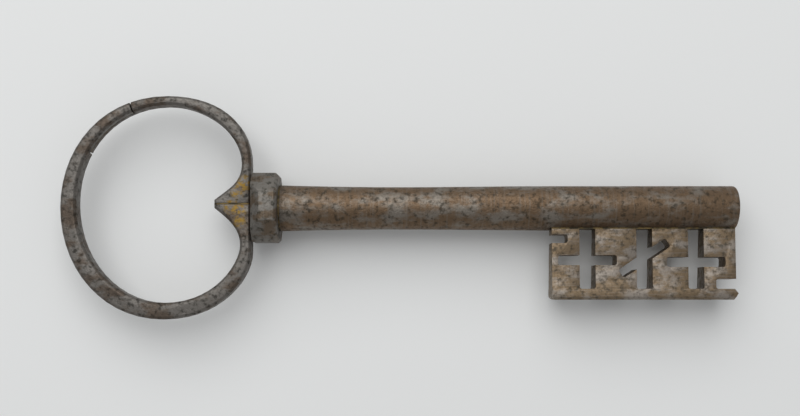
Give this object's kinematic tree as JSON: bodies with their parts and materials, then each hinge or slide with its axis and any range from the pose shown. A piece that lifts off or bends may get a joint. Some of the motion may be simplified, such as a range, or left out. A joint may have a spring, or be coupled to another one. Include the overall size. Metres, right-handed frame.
{
  "type": "barrel key",
  "caption": "Old iron barrel key with a kidney-shaped hoop bow, pointed cusp, eight-sided collar, waisted drilled shank and a bit cut with crosses for wards.",
  "frame": {"origin": "on the shank's axis, halfway between the bow's far end and the tip", "axes": "+X along the shank towards the tip, the bit hangs towards -Y, +Z is square to the flat of the bow and the bit"},
  "size_m": [0.15, 0.0496, 0.0152],
  "materials": {
    "filed_iron": "hand-filed wrought iron, worn and darkened",
    "browned_iron": "hand-filed wrought iron with a thin brown patina",
    "brass_braze": "brazing brass, dulled"
  },
  "bodies": {
    "root": {"bow_upper_arm": "filed_iron", "bow_lower_arm": "filed_iron", "braze_bow_lap": "brass_braze", "braze_cusp_seam": "brass_braze", "braze_bow_to_collar": "brass_braze", "collar": "filed_iron", "braze_collar_to_shank": "brass_braze", "shank": "browned_iron", "braze_bit_to_shank": "brass_braze", "bit": "browned_iron"}
  },
  "joints": []
}
